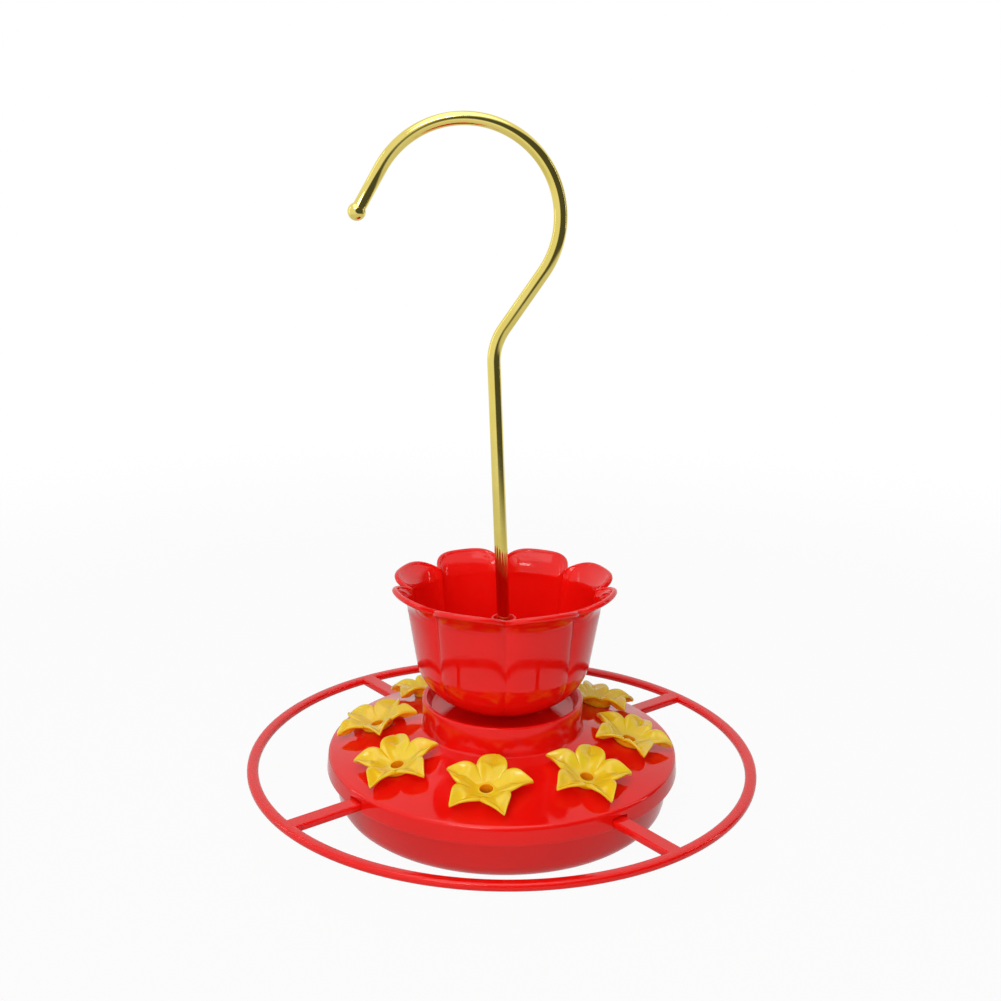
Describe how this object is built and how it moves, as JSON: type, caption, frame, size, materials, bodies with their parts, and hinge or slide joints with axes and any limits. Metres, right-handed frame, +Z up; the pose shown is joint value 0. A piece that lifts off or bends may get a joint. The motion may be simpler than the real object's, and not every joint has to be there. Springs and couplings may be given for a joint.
{
  "type": "hummingbird feeder",
  "caption": "Hanging saucer feeder for hummingbirds: shallow bowl with a perch ring, sloping lid with flower-shaped feeding ports, fluted ant moat and a hooked wire hanger.",
  "frame": {"origin": "middle of the bowl's flat underside", "axes": "+Z up along the rod's hole, +X and +Y halfway between the perch's spokes"},
  "size_m": [0.2, 0.2, 0.2657],
  "materials": {
    "red_plastic": "glossy moulded plastic",
    "yellow_plastic": "glossy moulded plastic",
    "brass_wire": "polished"
  },
  "bodies": {
    "base": {"nectar_bowl": "red_plastic", "bowl_floor": "red_plastic", "perch_ring": "red_plastic"},
    "hanger": {"hanger_rod": "brass_wire", "rod_washer": "brass_wire", "rod_nut": "brass_wire"},
    "lid": {"lid": "red_plastic"},
    "moat": {"ant_moat": "red_plastic"},
    "flower_1": {"flower_port_1": "yellow_plastic"},
    "flower_2": {"flower_port_2": "yellow_plastic"},
    "flower_3": {"flower_port_3": "yellow_plastic"},
    "flower_4": {"flower_port_4": "yellow_plastic"},
    "flower_5": {"flower_port_5": "yellow_plastic"},
    "flower_6": {"flower_port_6": "yellow_plastic"},
    "flower_7": {"flower_port_7": "yellow_plastic"},
    "flower_8": {"flower_port_8": "yellow_plastic"}
  },
  "joints": [
    {"name": "hanger_swivel", "type": "hinge", "parent": "base", "child": "hanger", "pos_m": [0, 0, 0.008], "axis": [0, 0, 1], "continuous": true},
    {"name": "lid_lift", "type": "slide", "parent": "base", "child": "lid", "axis": [0, 0, 1], "range_m": [0, 0.015]},
    {"name": "moat_lift", "type": "slide", "parent": "lid", "child": "moat", "axis": [0, 0, 1], "range_m": [0, 0.009]},
    {"name": "flower_1_pull", "type": "slide", "parent": "lid", "child": "flower_1", "axis": [0, -0.2402, 0.9707], "range_m": [0, 0.012]},
    {"name": "flower_2_pull", "type": "slide", "parent": "lid", "child": "flower_2", "axis": [0.1699, -0.1699, 0.9707], "range_m": [0, 0.012]},
    {"name": "flower_3_pull", "type": "slide", "parent": "lid", "child": "flower_3", "axis": [0.2402, 0, 0.9707], "range_m": [0, 0.012]},
    {"name": "flower_4_pull", "type": "slide", "parent": "lid", "child": "flower_4", "axis": [0.1699, 0.1699, 0.9707], "range_m": [0, 0.012]},
    {"name": "flower_5_pull", "type": "slide", "parent": "lid", "child": "flower_5", "axis": [0, 0.2402, 0.9707], "range_m": [0, 0.012]},
    {"name": "flower_6_pull", "type": "slide", "parent": "lid", "child": "flower_6", "axis": [-0.1699, 0.1699, 0.9707], "range_m": [0, 0.012]},
    {"name": "flower_7_pull", "type": "slide", "parent": "lid", "child": "flower_7", "axis": [-0.2402, 0, 0.9707], "range_m": [0, 0.012]},
    {"name": "flower_8_pull", "type": "slide", "parent": "lid", "child": "flower_8", "axis": [-0.1699, -0.1699, 0.9707], "range_m": [0, 0.012]}
  ]
}
